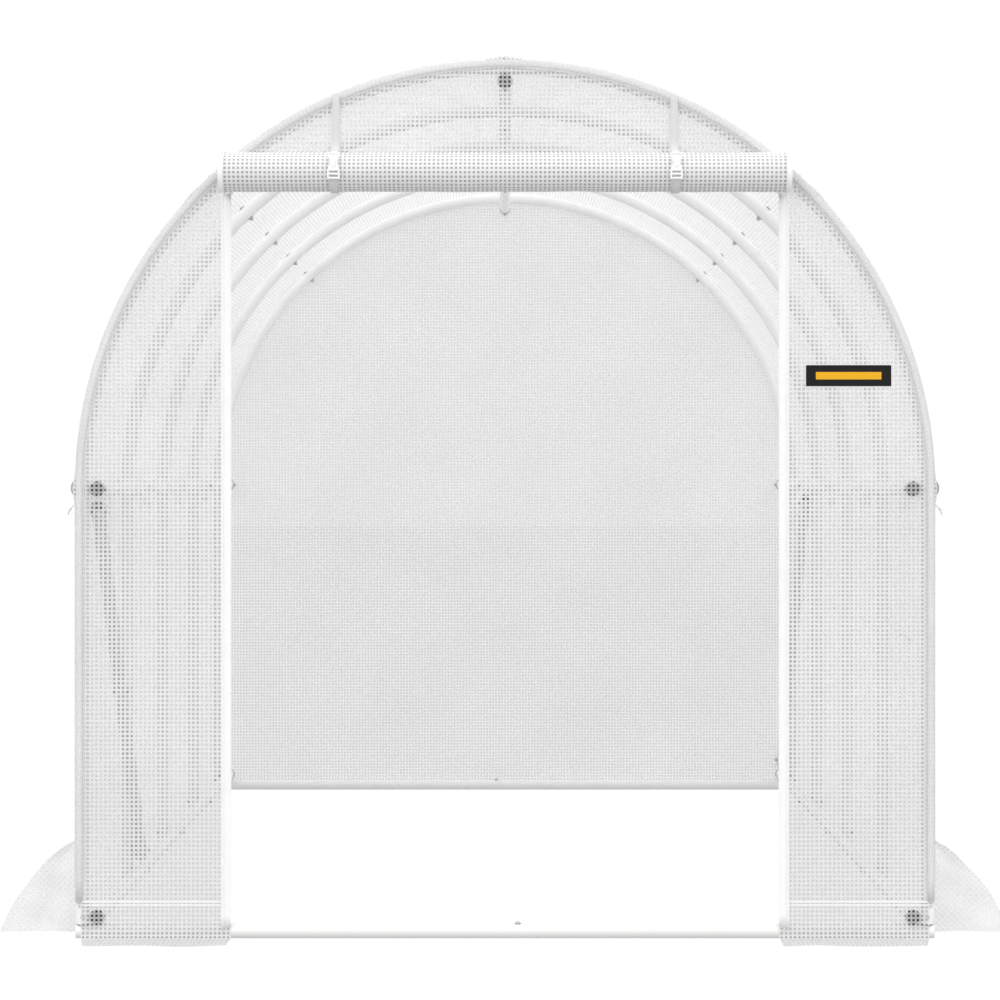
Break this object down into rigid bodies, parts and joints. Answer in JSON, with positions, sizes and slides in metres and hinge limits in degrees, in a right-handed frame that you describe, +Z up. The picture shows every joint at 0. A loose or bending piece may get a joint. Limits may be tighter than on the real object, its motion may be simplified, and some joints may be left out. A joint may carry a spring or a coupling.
{
  "type": "walk-in polytunnel greenhouse",
  "caption": "Round-topped walk-in tunnel greenhouse of steel hoops and rails under a clear grid-reinforced cover, with ground skirts, side windows and a rolled-up door.",
  "frame": {"origin": "centre of the footprint on the ground, midway between the two end hoops", "axes": "+Y runs along the tunnel from the doorway at -Y to the closed end, +Z up, +X to the right as seen from the front"},
  "size_m": [2.4762, 3.9076, 2.1268],
  "materials": {
    "tube": "smooth white powder coat on round steel tube",
    "cap": "black moulded end plug",
    "cover": "clear polyethylene film with a woven white grid",
    "mesh": "fine white insect mesh",
    "roll": "rolled layers of the grid-reinforced film",
    "tape": "white woven zip tape",
    "webbing": "light grey ribbed webbing",
    "buckle": "white moulded side-release buckle",
    "label": "plain black label with a plain yellow bar"
  },
  "bodies": {
    "root": {"hoop_1_left": "tube", "hoop_1_crown": "tube", "hoop_1_right": "tube", "hoop_2_left": "tube", "hoop_2_crown": "tube", "hoop_2_right": "tube", "hoop_3_left": "tube", "hoop_3_crown": "tube", "hoop_3_right": "tube", "hoop_4_left": "tube", "hoop_4_crown": "tube", "hoop_4_right": "tube", "hoop_5_left": "tube", "hoop_5_crown": "tube", "hoop_5_right": "tube", "ridge_rail": "tube", "hip_rail_left": "tube", "hip_rail_right": "tube", "ground_rail_left": "tube", "ground_rail_right": "tube", "front_cross_rail_left": "tube", "front_cross_rail_right": "tube", "rear_cross_rail_left": "tube", "rear_cross_rail_right": "tube", "brace_front_left": "tube", "brace_rear_right": "tube", "rail_end_caps": "cap", "cover_roof_left": "cover", "cover_roof_right": "cover", "cover_wall_left": "cover", "cover_wall_right": "cover", "side_skirt_left": "cover", "side_skirt_right": "cover", "front_panel_left": "cover", "front_panel_right": "cover", "front_panel_top": "cover", "rear_panel": "cover", "front_flap_left": "cover", "front_flap_right": "cover", "rear_flap": "cover", "window_mesh_left": "mesh", "window_mesh_right": "mesh", "window_rolls_left": "roll", "window_rolls_right": "roll", "door_roll": "roll", "zip_tapes": "tape", "door_straps": "webbing", "door_buckles": "buckle", "label_plate": "label"}
  },
  "joints": []
}
